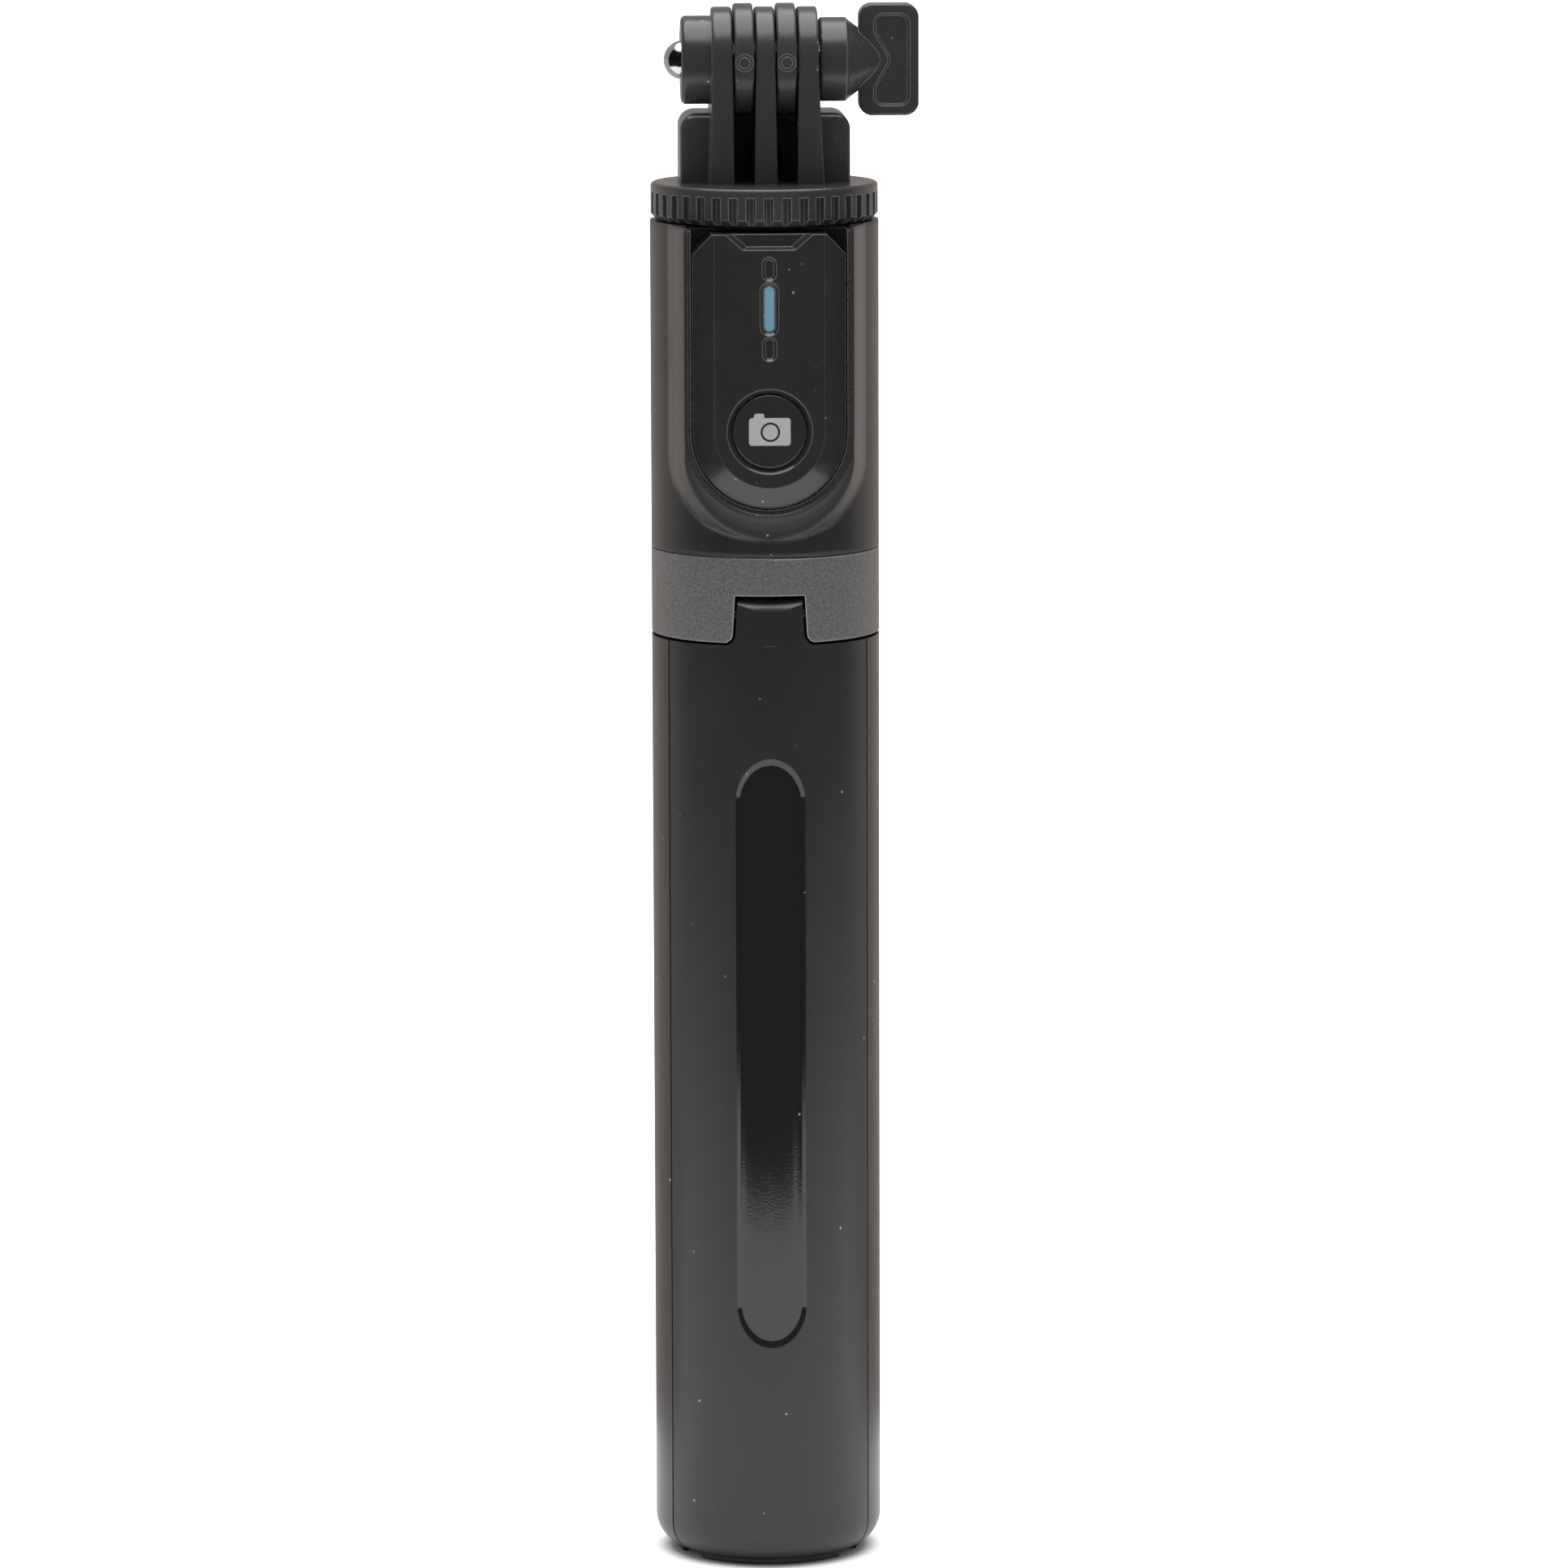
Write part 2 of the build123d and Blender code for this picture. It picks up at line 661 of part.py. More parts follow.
with BuildPart() as thumb_knob:
    # flat paddle
    with BuildSketch(front(-PADDLE_HALF_Y)):
        with Locations(((PADDLE_LOW_X + PADDLE_HIGH_X) / 2, PIVOT_Z)):
            RectangleRounded(PADDLE_HIGH_X - PADDLE_LOW_X, 2 * PADDLE_HALF_Z, 1.9)
    extrude(amount=2 * PADDLE_HALF_Y)
    fillet(thumb_knob.faces().filter_by(Plane.XZ).edges(), radius=0.45)
    # bean-shaped recess on both faces, bent round the cone's end
    for face_y, way in ((PADDLE_HALF_Y, -1), (-PADDLE_HALF_Y, 1)):
        with BuildSketch(front(face_y)) as bean:
            with BuildLine():
                Polyline(
                    (RECESS_LEFT, PIVOT_Z + RECESS_HALF),
                    (RECESS_RIGHT, PIVOT_Z + RECESS_HALF),
                    (RECESS_RIGHT, PIVOT_Z - RECESS_HALF),
                    (RECESS_LEFT, PIVOT_Z - RECESS_HALF),
                    (RECESS_LEFT, PIVOT_Z - 3.9),
                    (RECESS_BEND, PIVOT_Z),
                    (RECESS_LEFT, PIVOT_Z + 3.9),
                    close=True,
                )
            make_face()
            fillet(bean.vertices(), radius=1.4)
        extrude(amount=way * RECESS_DEPTH, taper=35, mode=Mode.SUBTRACT)
    # knob and the cone that runs out into the paddle
    with BuildSketch(Plane.XZ):
        with BuildLine():
            Polyline(
                (KNOB_X, PIVOT_Z),
                (KNOB_X, PIVOT_Z + KNOB_R),
                (KNOB_X + CONE_START, PIVOT_Z + KNOB_R),
                (KNOB_X + CONE_START + 0.35, PIVOT_Z + KNOB_R - 0.35),
                (KNOB_X + CONE_END, PIVOT_Z + 1.9),
                (KNOB_X + CONE_END, PIVOT_Z),
                close=True,
            )
        make_face()
    revolve(axis=Axis((0, 0, PIVOT_Z), (1, 0, 0)))
    knob_rim = thumb_knob.edges().filter_by(GeomType.CIRCLE).filter_by(lambda edge: edge.radius > KNOB_R - 0.1)
    fillet(knob_rim.sort_by(Axis.X)[0], radius=0.45)
    with BuildSketch(Plane.YZ.offset(KNOB_X - 1)):
        with Locations((0, PIVOT_Z)):
            Circle(BOLT_R)
    extrude(amount=KNOB_BOLT + 1, mode=Mode.SUBTRACT)
save(thumb_knob.part, "thumb_knob")

with BuildPart() as thumb_bolt:
    with BuildSketch(Plane.YZ.offset(-11.2)):
        with Locations((0, PIVOT_Z)):
            Circle(BOLT_R)
    extrude(amount=11.2 + KNOB_X + KNOB_BOLT)
    chamfer(thumb_bolt.edges().filter_by(GeomType.CIRCLE).sort_by(Axis.X)[0], length=0.5)
save(thumb_bolt.part, "thumb_bolt")

# ---- phone clamp -----------------------------------------------------------------------
ARM_THICK = 2.8
ARM_X = 3.0
BRIDGE_Y = 8.45
BRIDGE_HALF = 5.4
BRIDGE_TOP = 5.2          # above the tilt axis
MARK_R = 1.2              # moulded ring on each arm's nose

with BuildPart() as clamp_arm:
    for x in (-ARM_X, ARM_X):
        with BuildSketch(Plane.YZ.offset(x - ARM_THICK / 2)):
            with Locations((0, PIVOT_Z)):
                Circle(ARM_EYE_R)
            with BuildLine():
                Polyline(
                    (0, PIVOT_Z + ARM_EYE_R - 0.05),
                    (BRIDGE_Y + 1.0, PIVOT_Z + BRIDGE_TOP),
                    (BRIDGE_Y + 1.0, PIVOT_Z - ARM_EYE_R + 0.4),
                    (0, PIVOT_Z - ARM_EYE_R + 0.2),
                    close=True,
                )
            make_face()
        extrude(amount=ARM_THICK)
    rims = clamp_arm.edges().filter_by(lambda edge: edge.center().Y < BRIDGE_Y)
    fillet(rims, radius=0.4)
    with BuildSketch(Plane.YZ.offset(-BRIDGE_HALF)):
        with BuildLine():
            Polyline(
                (BRIDGE_Y, PIVOT_Z + BRIDGE_TOP),
                (14.0, PIVOT_Z + BRIDGE_TOP - 0.8),
                (19.5, PIVOT_Z - 1.0),
                (CLAMP_BACK_Y - 0.6, CLAMP_TOP + 9),
                (CLAMP_BACK_Y - 0.6, CLAMP_TOP),
                (CLAMP_Y, CLAMP_TOP),
                (CLAMP_Y, CLAMP_TOP + 7.5),
                (BRIDGE_Y + 2.5, 205.0),
                (BRIDGE_Y, 206.5),
                close=True,
            )
        make_face()
    extrude(amount=2 * BRIDGE_HALF)
    outer = clamp_arm.edges().filter_by(lambda edge: edge.center().Y > BRIDGE_Y + 0.3)
    fillet(outer.filter_by(lambda edge: abs(edge.center().X) > BRIDGE_HALF - 0.1), radius=0.6)
    with BuildSketch(Plane.YZ.offset(-20)):
        with Locations((0, PIVOT_Z)):
            Circle(BOLT_R + BOLT_GAP)
    extrude(amount=40, mode=Mode.SUBTRACT)
    with BuildSketch(front(ARM_EYE_R - 0.16)):
        with Locations((-ARM_X, PIVOT_Z), (ARM_X, PIVOT_Z)):
            Circle(MARK_R)
            Circle(MARK_R - 0.4, mode=Mode.SUBTRACT)
    extrude(amount=1, mode=Mode.SUBTRACT)
save(clamp_arm.part, "clamp_arm")

HOUSING_MID_Y = (CLAMP_Y + CLAMP_BACK_Y) / 2
JAW_GAP_TOP = CLAMP_TOP - 5.0
JAW_GAP_LOW = JAW_LOW + JAW_THICK
SPRING_LOW = CLAMP_LOW + 5.0
SPRING_HIGH = CLAMP_TOP - 8.0

with BuildPart() as clamp_housing:
    with BuildSketch(Plane.XY.offset(CLAMP_LOW)):
        with Locations((0, HOUSING_MID_Y)):
            RectangleRounded(2 * CLAMP_HALF, CLAMP_BACK_Y - CLAMP_Y, 1.5)
    extrude(amount=CLAMP_TOP - CLAMP_LOW)
    # fixed jaw with its hooked lip
    with BuildSketch(Plane.YZ.offset(-CLAMP_HALF + 1)):
        with BuildLine():
            Polyline(
                (CLAMP_BACK_Y - 1, CLAMP_TOP),
                (JAW_REACH_Y, CLAMP_TOP),
                (JAW_REACH_Y, CLAMP_TOP - 7.5),
                (JAW_REACH_Y - 2.0, CLAMP_TOP - 7.5),
                (JAW_REACH_Y - 3.5, JAW_GAP_TOP),
                (CLAMP_BACK_Y - 1, JAW_GAP_TOP),
                close=True,
            )
        make_face()
    extrude(amount=2 * CLAMP_HALF - 2)
    outer = clamp_housing.edges().filter_by(lambda edge: edge.center().Y > CLAMP_BACK_Y + 0.5)
    fillet(outer, radius=0.7)
    # bores for the rods, wider where the springs sit
    with BuildSketch(Plane.XY.offset(CLAMP_LOW - 1)):
        with Locations((-JAW_ROD_X, JAW_ROD_Y), (JAW_ROD_X, JAW_ROD_Y)):
            Circle(1.56)
    extrude(amount=8, mode=Mode.SUBTRACT)
    with BuildSketch(Plane.XY.offset(SPRING_LOW)):
        with Locations((-JAW_ROD_X, JAW_ROD_Y), (JAW_ROD_X, JAW_ROD_Y)):
            Circle(2.4)
    extrude(amount=SPRING_HIGH + 4 - SPRING_LOW, mode=Mode.SUBTRACT)
    # recess for the back pad
    with BuildSketch(Plane.XZ.offset(-CLAMP_BACK_Y - 1)):
        with Locations((0, (CLAMP_LOW + JAW_GAP_TOP) / 2)):
            RectangleRounded(15, 38, 2)
    extrude(amount=1.4, mode=Mode.SUBTRACT)
save(clamp_housing.part, "clamp_housing")

with BuildPart() as back_pad:
    with BuildSketch(Plane.XZ.offset(-CLAMP_BACK_Y - 0.4)):
        with Locations((0, (CLAMP_LOW + JAW_GAP_TOP) / 2)):
            RectangleRounded(14.9, 37.9, 2)
    extrude(amount=0.8)
    with BuildSketch(Plane.XZ.offset(-CLAMP_BACK_Y - 0.8)):
        with Locations((0, (CLAMP_LOW + JAW_GAP_TOP) / 2)):
            with GridLocations(0, 2.6, 1, 13):
                SlotOverall(12, 1.2)
    extrude(amount=0.5)
save(back_pad.part, "back_pad")

with BuildPart() as fixed_jaw_pad:
    with BuildSketch(Plane.XY.offset(JAW_GAP_TOP)):
        with Locations((0, (CLAMP_BACK_Y + 1.2 + JAW_REACH_Y - 4.2) / 2)):
            RectangleRounded(16, JAW_REACH_Y - CLAMP_BACK_Y - 5.4, 1)
    extrude(amount=-1.0)
save(fixed_jaw_pad.part, "fixed_jaw_pad")

with BuildPart() as jaw_springs:
    for x in (-JAW_ROD_X, JAW_ROD_X):
        with BuildSketch(Plane.XY.offset(SPRING_LOW)):
            with Locations((x, JAW_ROD_Y)):
                Circle(2.2)
                Circle(1.75, mode=Mode.SUBTRACT)
        extrude(amount=SPRING_HIGH - SPRING_LOW)
save(jaw_springs.part, "jaw_springs")

with BuildPart() as clamp_jaw:
    with BuildSketch(Plane.YZ.offset(-CLAMP_HALF + 1)):
        with BuildLine():
            Polyline(
                (CLAMP_Y + 0.3, JAW_LOW),
                (JAW_REACH_Y, JAW_LOW),
                (JAW_REACH_Y, JAW_LOW + 6.5),
                (JAW_REACH_Y - 2.0, JAW_LOW + 6.5),
                (JAW_REACH_Y - 3.5, JAW_GAP_LOW),
                (CLAMP_BACK_Y + 0.2, JAW_GAP_LOW),
                (CLAMP_BACK_Y + 0.2, CLAMP_LOW - 0.3),
                (CLAMP_Y + 0.3, CLAMP_LOW - 0.3),
                close=True,
            )
        make_face()
    extrude(amount=2 * CLAMP_HALF - 2)
    fillet(clamp_jaw.edges().filter_by(lambda edge: edge.center().Y > CLAMP_BACK_Y + 2), radius=0.7)
    with BuildSketch(Plane.XY.offset(JAW_LOW + 1.5)):
        with Locations((-JAW_ROD_X, JAW_ROD_Y), (JAW_ROD_X, JAW_ROD_Y)):
            Circle(1.5)
    extrude(amount=20, mode=Mode.SUBTRACT)
save(clamp_jaw.part, "clamp_jaw")

with BuildPart() as jaw_rods:
    for x in (-JAW_ROD_X, JAW_ROD_X):
        with BuildSketch(Plane.XY.offset(JAW_LOW + 1.5)):
            with Locations((x, JAW_ROD_Y)):
                Circle(1.5)
        extrude(amount=SPRING_HIGH + 1.0 - JAW_LOW - 1.5)
        with BuildSketch(Plane.XY.offset(SPRING_HIGH + 0.05)):
            with Locations((x, JAW_ROD_Y)):
                Circle(2.2)
        extrude(amount=1.2)
save(jaw_rods.part, "jaw_rods")

with BuildPart() as moving_jaw_pad:
    with BuildSketch(Plane.XY.offset(JAW_GAP_LOW)):
        with Locations((0, (CLAMP_BACK_Y + 1.2 + JAW_REACH_Y - 4.2) / 2)):
            RectangleRounded(16, JAW_REACH_Y - CLAMP_BACK_Y - 5.4, 1)
    extrude(amount=1.0)
save(moving_jaw_pad.part, "moving_jaw_pad")

# ---- remote ----------------------------------------------------------------------------
CORNER_W = 2.75
CORNER_H = 2.9


def remote_outline(inset):
    """Remote seen from the front: U-shaped below, chamfered corners above."""
    half = REMOTE_HALF - inset
    top = REMOTE_TOP - inset
    with BuildSketch() as outline:
        with BuildLine():
            RadiusArc((-half, REMOTE_ARC_Z), (half, REMOTE_ARC_Z), -half)
            Polyline(
                (half, REMOTE_ARC_Z),
                (half, top - CORNER_H),
                (half - CORNER_W, top),
                (-half + CORNER_W, top),
                (-half, top - CORNER_H),
                (-half, REMOTE_ARC_Z),
            )
        make_face()
    return outline.sketch


def capsule(width, low, high):
    """Upright slot outline."""
    with BuildSketch() as slot:
        with Locations((0, (low + high) / 2)):
            SlotOverall(high - low, width, rotation=90)
    return slot.sketch


def notch_outline(half, spread):
    """Finger notch at the remote's top edge, seen from the front."""
    low = NOTCH_LOW - spread
    rise = REMOTE_TOP + 0.5 - low
    with BuildSketch() as outline:
        with BuildLine():
            Polyline(
                (-half, low),
                (half, low),
                (half + 1.15 * rise, low + rise),
                (-half - 1.15 * rise, low + rise),
                close=True,
            )
        make_face()
    return outline.sketch


NOTCH_LOW = 190.2
LED_W = 1.45
LED_LOW = 178.3
LED_HIGH = 184.7
POINTER_HIGH = (2.0, LED_HIGH + 0.7, LED_HIGH + 4.1)
POINTER_LOW = (2.0, LED_LOW - 4.2, LED_LOW - 0.7)

with BuildPart() as remote_front:
    with BuildSketch(front(REMOTE_SPLIT_Y)):
        add(remote_outline(0))
    extrude(amount=REMOTE_FACE_Y - REMOTE_SPLIT_Y)
    # the plateau's edges fall away to the rim
    with BuildPart(mode=Mode.INTERSECT):
        with BuildSketch(front(REMOTE_SPLIT_Y)):
            add(bay_outline(REMOTE_HALF, 200))
        extrude(amount=REMOTE_RIM_Y - REMOTE_SPLIT_Y)
        with BuildSketch(front(REMOTE_RIM_Y)):
            add(bay_outline(REMOTE_HALF, 200))
        with BuildSketch(front(REMOTE_FACE_Y)):
            add(bay_outline(PLATEAU_HALF, 200))
        loft()
    # hollow
    with BuildSketch(front(REMOTE_SPLIT_Y)):
        add(remote_outline(1.0))
    extrude(amount=REMOTE_RIM_Y - 0.6 - REMOTE_SPLIT_Y, mode=Mode.SUBTRACT)
    # finger notch
    with BuildSketch(front(REMOTE_FACE_Y - 0.9)):
        add(notch_outline(3.1, 0.0))
    with BuildSketch(front(REMOTE_FACE_Y + 0.1)):
        add(notch_outline(3.75, 0.45))
    loft(mode=Mode.SUBTRACT)
    # light slot with its bevelled recess and two pointers
    with BuildSketch(front(10)):
        add(capsule(LED_W, LED_LOW, LED_HIGH))
    extrude(amount=10, mode=Mode.SUBTRACT)
    for width, low, high in ((2.6, LED_LOW - 0.6, LED_HIGH + 0.6), POINTER_HIGH, POINTER_LOW):
        with BuildSketch(front(REMOTE_FACE_Y)):
            add(capsule(width, low, high))
        extrude(amount=-0.4, taper=45, mode=Mode.SUBTRACT)
    # button hole with a bevelled ring
    with BuildSketch(front(10)):
        with Locations((0, BUTTON_Z)):
            Circle(BUTTON_R + 0.12)
    extrude(amount=10, mode=Mode.SUBTRACT)
    with BuildSketch(front(REMOTE_FACE_Y - 0.7)):
        with Locations((0, BUTTON_Z)):
            Circle(BUTTON_R + 0.12)
    with BuildSketch(front(REMOTE_FACE_Y + 0.05)):
        with Locations((0, BUTTON_Z)):
            Circle(BUTTON_R + 0.8)
    loft(mode=Mode.SUBTRACT)
save(remote_front.part, "remote_front")

with BuildPart() as remote_back:
    with BuildSketch(front(REMOTE_BACK_Y)):
        add(remote_outline(0))
    extrude(amount=REMOTE_SPLIT_Y - 0.02 - REMOTE_BACK_Y)
    with BuildSketch(front(REMOTE_SPLIT_Y - 0.1)):
        add(remote_outline(1.05))
        add(remote_outline(1.75), mode=Mode.SUBTRACT)
    extrude(amount=0.9)
    fillet(remote_back.faces().sort_by(Axis.Y)[-1].edges(), radius=0.3)
    with BuildSketch(front(REMOTE_BACK_Y - 1)):
        with Locations(*REMOTE_SCREWS):
            Circle(0.85)
    extrude(amount=3, mode=Mode.SUBTRACT)
save(remote_back.part, "remote_back")

with BuildPart() as remote_screws:
    with BuildSketch(front(REMOTE_BACK_Y + 0.1)):
        with Locations(*REMOTE_SCREWS):
            Circle(0.8)
    extrude(amount=2.2)
save(remote_screws.part, "remote_screws")

BOARD_Y = 14.15
BUTTON_BACK_Y = 15.45
with BuildPart() as remote_board:
    with BuildSketch(front(BOARD_Y)):
        add(remote_outline(2.0))
        with Locations(*REMOTE_SCREWS):
            Circle(1.2, mode=Mode.SUBTRACT)
    extrude(amount=0.5)
save(remote_board.part, "remote_board")

with BuildPart() as coin_cell:
    with BuildSketch(front(REMOTE_SPLIT_Y + 0.1)):
        with Locations((0, 172.5)):
            Circle(8.0)
    extrude(amount=2.0)
    with BuildSketch(front(REMOTE_SPLIT_Y + 2.1)):
        with Locations((0, 172.5)):
            Circle(6.9)
    extrude(amount=0.3)
save(coin_cell.part, "coin_cell")

with BuildPart() as led_lens:
    with BuildSketch(front(15.05)):
        add(capsule(LED_W - 0.04, LED_LOW + 0.02, LED_HIGH - 0.02))
    extrude(amount=REMOTE_FACE_Y - 0.3 - 15.05)
    with BuildSketch(front(15.05)):
        add(capsule(2.8, LED_LOW - 0.7, LED_HIGH + 0.7))
    extrude(amount=0.4)
save(led_lens.part, "led_lens")

with BuildPart() as tact_switch:
    with BuildSketch(front(BOARD_Y + 0.5)):
        with Locations((0, BUTTON_Z)):
            Rectangle(3.0, 3.0)
    extrude(amount=0.15)
    with BuildSketch(front(BOARD_Y + 0.65)):
        with Locations((0, BUTTON_Z)):
            Circle(0.9)
    extrude(amount=0.1)
save(tact_switch.part, "tact_switch")

with BuildPart() as shutter_button:
    with BuildSketch(front(BUTTON_BACK_Y)):
        with Locations((0, BUTTON_Z)):
            Circle(BUTTON_R)
    extrude(amount=REMOTE_FACE_Y - 0.2 - BUTTON_BACK_Y)
    fillet(shutter_button.edges().filter_by(GeomType.CIRCLE).sort_by(Axis.Y)[0], radius=0.35)
    # flange that keeps the button in, hollow behind, with a nub for the switch
    with BuildSketch(front(BUTTON_BACK_Y - 0.27)):
        with Locations((0, BUTTON_Z)):
            Circle(BUTTON_R + 0.65)
    extrude(amount=0.27)
    with BuildSketch(front(BUTTON_BACK_Y - 1)):
        with Locations((0, BUTTON_Z)):
            Circle(4.2)
            Circle(1.2, mode=Mode.SUBTRACT)
    extrude(amount=1.5, mode=Mode.SUBTRACT)
    with BuildSketch(front(BUTTON_BACK_Y - 1)):
        with Locations((0, BUTTON_Z)):
            Circle(1.3)
    extrude(amount=0.96, mode=Mode.SUBTRACT)
save(shutter_button.part, "shutter_button")
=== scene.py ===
import json
import math

import bpy
from mathutils import Matrix, Vector


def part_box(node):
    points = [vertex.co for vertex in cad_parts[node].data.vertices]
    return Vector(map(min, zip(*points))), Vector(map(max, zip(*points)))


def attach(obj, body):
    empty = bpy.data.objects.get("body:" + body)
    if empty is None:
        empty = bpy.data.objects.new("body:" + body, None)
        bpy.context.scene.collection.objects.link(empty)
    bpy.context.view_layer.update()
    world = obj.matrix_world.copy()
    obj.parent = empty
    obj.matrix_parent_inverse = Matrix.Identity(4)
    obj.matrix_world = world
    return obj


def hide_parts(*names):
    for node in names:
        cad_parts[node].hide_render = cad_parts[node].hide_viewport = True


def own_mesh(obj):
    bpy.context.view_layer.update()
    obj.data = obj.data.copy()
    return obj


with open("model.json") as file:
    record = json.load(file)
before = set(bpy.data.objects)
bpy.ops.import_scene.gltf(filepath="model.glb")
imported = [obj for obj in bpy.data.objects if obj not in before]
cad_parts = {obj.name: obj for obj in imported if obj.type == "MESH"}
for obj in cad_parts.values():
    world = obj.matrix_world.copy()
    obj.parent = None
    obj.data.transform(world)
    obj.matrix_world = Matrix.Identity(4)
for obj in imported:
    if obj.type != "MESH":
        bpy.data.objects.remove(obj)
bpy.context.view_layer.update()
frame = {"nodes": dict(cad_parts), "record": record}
nodes = frame["nodes"]

MM = 0.001
scene = bpy.context.scene
scene.view_settings.view_transform = "Standard"
scene.view_settings.look = "None"

# ---- camera ----------------------------------------------------------------------------
YAW = math.radians(2.45)
PITCH = math.radians(8.49)
ROLL = math.radians(-0.169)
DISTANCE = 1.191
HEIGHT = 0.2894
SIDE = 0.00258
SENSOR = 36
LENS_LENGTH = 192.7

ahead = Vector((math.sin(YAW), math.cos(YAW), 0))
side = Vector((math.cos(YAW), -math.sin(YAW), 0))
rise = Vector((0, 0, 1))
look = ahead * math.cos(PITCH) - rise * math.sin(PITCH)
top = ahead * math.sin(PITCH) + rise * math.cos(PITCH)
right = side * math.cos(ROLL) + top * math.sin(ROLL)
top = -side * math.sin(ROLL) + top * math.cos(ROLL)
camera_data = bpy.data.cameras.new("camera")
camera_data.sensor_width = SENSOR
camera_data.lens = LENS_LENGTH
camera_data.clip_start = 0.05
camera_data.clip_end = 50
camera = bpy.data.objects.new("camera", camera_data)
scene.collection.objects.link(camera)
place = -ahead * DISTANCE + side * SIDE + rise * HEIGHT
turn = Matrix((right, top, -look)).transposed()
camera.matrix_world = Matrix.Translation(place) @ turn.to_4x4()
scene.camera = camera


# ---- materials -------------------------------------------------------------------------
class Shader:
    """A node material built up in short steps."""

    def __init__(self, name):
        self.mat = bpy.data.materials.new(name)
        self.mat.use_nodes = True
        self.tree = self.mat.node_tree
        self.bsdf = self.tree.nodes["Principled BSDF"]
        self.place = self.node("ShaderNodeTexCoord").outputs["Object"]

    def node(self, kind, **values):
        made = self.tree.nodes.new(kind)
        for key, value in values.items():
            setattr(made, key, value)
        return made

    def link(self, start, end):
        self.tree.links.new(start, end)

    def set(self, **values):
        for key, value in values.items():
            self.bsdf.inputs[key.replace("_", " ")].default_value = value

    def math(self, operation, a, b=0.0):
        made = self.node("ShaderNodeMath", operation=operation)
        for socket, value in zip(made.inputs, (a, b)):
            if isinstance(value, (int, float)):
                socket.default_value = value
            else:
                self.link(value, socket)
        return made.outputs[0]

    def times(self, a, b):
        return self.math("MULTIPLY", a, b)

    def stretch(self, scale, turn_z=0.0):
        """Object coordinates, scaled and turned about the upright axis."""
        made = self.node("ShaderNodeMapping")
        made.inputs["Scale"].default_value = scale
        made.inputs["Rotation"].default_value = (0, 0, turn_z)
        self.link(self.place, made.inputs["Vector"])
        return made.outputs["Vector"]

    def noise(self, scale, detail=2.0, rough=0.5, vector=None):
        made = self.node("ShaderNodeTexNoise")
        made.inputs["Scale"].default_value = scale
        made.inputs["Detail"].default_value = detail
        made.inputs["Roughness"].default_value = rough
        self.link(vector or self.place, made.inputs["Vector"])
        return made.outputs["Fac"]

    def cells(self, scale, vector=None):
        made = self.node("ShaderNodeTexVoronoi")
        made.inputs["Scale"].default_value = scale
        self.link(vector or self.place, made.inputs["Vector"])
        return made.outputs["Distance"]

    def span(self, value, low, high, to_low=0.0, to_high=1.0):
        """value from low to high becomes to_low to to_high, and stays within them."""
        made = self.node("ShaderNodeMapRange")
        for key, number in (("From Min", low), ("From Max", high), ("To Min", to_low), ("To Max", to_high)):
            made.inputs[key].default_value = number
        self.link(value, made.inputs["Value"])
        return made.outputs["Result"]

    def blend(self, factor, first, second):
        made = self.node("ShaderNodeMix", data_type="RGBA")
        self.link(factor, made.inputs["Factor"])
        for socket, value in ((made.inputs[6], first), (made.inputs[7], second)):
            if isinstance(value, tuple):
                socket.default_value = (*value, 1)
            else:
                self.link(value, socket)
        return made.outputs[2]

    def colour(self, source):
        self.link(source, self.bsdf.inputs["Base Color"])

    def rough(self, source):
        self.link(source, self.bsdf.inputs["Roughness"])

    def rim(self, radius, low=0.995, high=0.93):
        """1 along sharp edges, 0 on open faces."""
        bevel = self.node("ShaderNodeBevel", samples=6)
        bevel.inputs["Radius"].default_value = radius
        true = self.node("ShaderNodeNewGeometry").outputs["Normal"]
        dot = self.node("ShaderNodeVectorMath", operation="DOT_PRODUCT")
        self.link(bevel.outputs["Normal"], dot.inputs[0])
        self.link(true, dot.inputs[1])
        return self.span(dot.outputs["Value"], low, high)

    def bump(self, *layers, edge=0.0):
        """Each layer is (height, depth in metres). edge rounds the corners by that radius."""
        normal = None
        if edge:
            bevel = self.node("ShaderNodeBevel", samples=4)
            bevel.inputs["Radius"].default_value = edge
            normal = bevel.outputs["Normal"]
        for height, depth in layers:
            made = self.node("ShaderNodeBump")
            made.inputs["Distance"].default_value = depth
            self.link(height, made.inputs["Height"])
            if normal:
                self.link(normal, made.inputs["Normal"])
            normal = made.outputs["Normal"]
        self.link(normal, self.bsdf.inputs["Normal"])


def tone(colour, factor):
    return tuple(channel * factor for channel in colour)


DUST_CELLS = 300    # cells per metre, each with one speck at its middle
DUST_PATCHES = 70   # scale of the noise that leaves most of the surface clean
DUST_GREY = (0.5, 0.5, 0.5)
# width of the pale highlight painted along sharp edges
EDGE_HIGHLIGHT_WIDTH = 2.6e-4


def dust(shader, colour, amount):
    """Sparse pale specks that lie on the surface."""
    speck = shader.span(shader.cells(DUST_CELLS), 0.03, 0.07, amount, 0.0)
    patch = shader.span(shader.noise(DUST_PATCHES, 1.0), 0.47, 0.57)
    return shader.blend(shader.times(speck, patch), colour, DUST_GREY)


